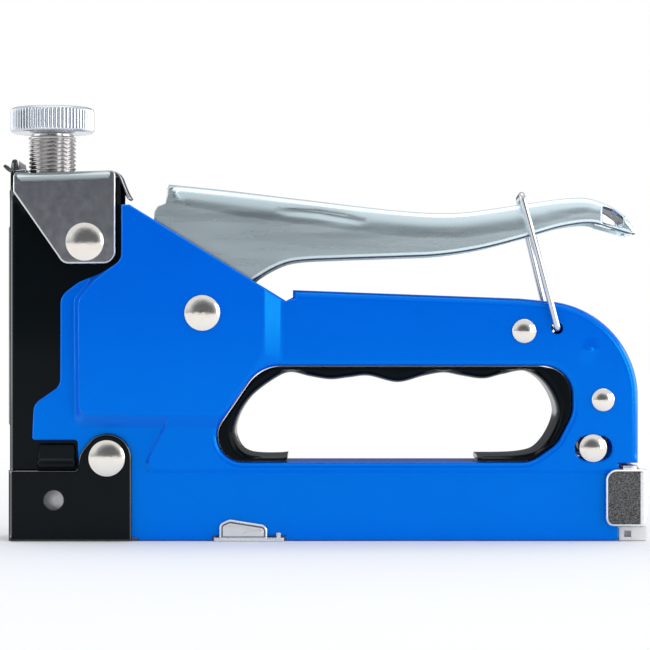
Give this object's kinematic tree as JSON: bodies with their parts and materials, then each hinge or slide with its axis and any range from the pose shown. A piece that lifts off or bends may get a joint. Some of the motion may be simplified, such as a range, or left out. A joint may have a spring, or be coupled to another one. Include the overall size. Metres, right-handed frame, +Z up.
{
  "type": "staple gun",
  "caption": "Hand staple gun of pressed steel: body with a finger opening, squeeze handle, wire lock bail, tension knob and slide-out staple magazine.",
  "frame": {"origin": "middle of the whole length and thickness, on the flat bottom of the magazine", "axes": "+X from the nose towards the magazine latch at the rear, +Y through the thickness towards the right-hand side, +Z up from the magazine to the tension knob"},
  "size_m": [0.1616, 0.0256, 0.1084],
  "materials": {
    "body_paint": "gloss blue paint on pressed steel",
    "channel_paint": "satin black paint",
    "chrome": "bright plating, soft sheen",
    "nickel": "bright warm white nickel plating",
    "steel": "bare machined steel",
    "spring_steel": "dark drawn spring wire",
    "dark_steel": "dark textured steel",
    "liner_plastic": "satin black moulded plastic",
    "bumper_rubber": "black rubber"
  },
  "bodies": {
    "housing": {"left_shell": "body_paint", "right_shell": "body_paint", "front_channel": "channel_paint", "top_cap": "chrome", "tension_nut": "steel", "striker_bumper": "bumper_rubber", "main_spring": "spring_steel", "handle_spring": "spring_steel", "catch_spring": "spring_steel", "grip_liner": "liner_plastic", "cap_rivet": "nickel", "pivot_rivet": "nickel", "nose_rivet": "nickel", "grip_rivet": "nickel", "rear_rivet": "nickel", "cap_spacer": "steel", "pivot_sleeve": "steel", "nose_spacer": "steel", "grip_spacer": "steel", "rear_spacer": "steel", "staple_channel": "chrome"},
    "handle": {"handle_lever": "chrome", "lift_lever": "dark_steel"},
    "striker": {"striker_carriage": "steel", "driver_blade": "steel"},
    "seat": {"spring_seat": "steel"},
    "adjuster": {"tension_screw": "chrome", "tension_knob": "chrome"},
    "bail": {"lock_bail": "chrome"},
    "rail": {"magazine_rail": "steel", "pusher_rod": "steel", "pusher_spring": "spring_steel", "latch_pin": "nickel"},
    "pusher": {"staple_pusher": "steel"},
    "latch": {"magazine_latch": "dark_steel"},
    "catch": {"catch_pin": "nickel"}
  },
  "joints": [
    {"name": "handle_squeeze", "type": "hinge", "parent": "housing", "child": "handle", "pos_m": [-0.03005, 0, 0.0567], "axis": [0, 1, 0], "range_deg": [0, 7], "stiffness_Nm_per_rad": 4, "springref_deg": -22.92, "deforming": ["handle_spring"]},
    {"name": "striker_lift", "type": "slide", "parent": "housing", "child": "striker", "axis": [0, 0, 1], "range_m": [0, 0.0045], "deforming": ["main_spring"]},
    {"name": "tension_turn", "type": "hinge", "parent": "seat", "child": "adjuster", "pos_m": [-0.06845, 0, 0.102], "axis": [0, 0, -1], "range_deg": [-725, 2165]},
    {"name": "tension_travel", "type": "slide", "parent": "housing", "child": "seat", "axis": [0, 0, -1], "range_m": [-0.002, 0.006]},
    {"name": "bail_swing", "type": "hinge", "parent": "housing", "child": "bail", "pos_m": [0.05805, 0, 0.0529], "axis": [0, 1, 0], "range_deg": [0, 135]},
    {"name": "rail_slide", "type": "slide", "parent": "housing", "child": "rail", "axis": [1, 0, 0], "range_m": [0, 0.09]},
    {"name": "pusher_slide", "type": "slide", "parent": "rail", "child": "pusher", "axis": [1, 0, 0], "range_m": [0, 0.1], "stiffness_N_per_m": 25, "springref_m": -0.1, "deforming": ["pusher_spring"]},
    {"name": "latch_release", "type": "hinge", "parent": "rail", "child": "latch", "pos_m": [0.07705, 0, 0.0065], "axis": [0, 1, 0], "range_deg": [0, 18]},
    {"name": "catch_slide", "type": "slide", "parent": "housing", "child": "catch", "axis": [1, 0, 0], "range_m": [0, 0.0015], "stiffness_N_per_m": 400, "springref_m": -0.005, "deforming": ["catch_spring"]}
  ],
  "couplings": [
    {"joint": "striker_lift", "follows": "handle_squeeze", "m_per_rad": 0.0355},
    {"joint": "tension_turn", "follows": "tension_travel", "rad_per_m": 6283.2}
  ]
}
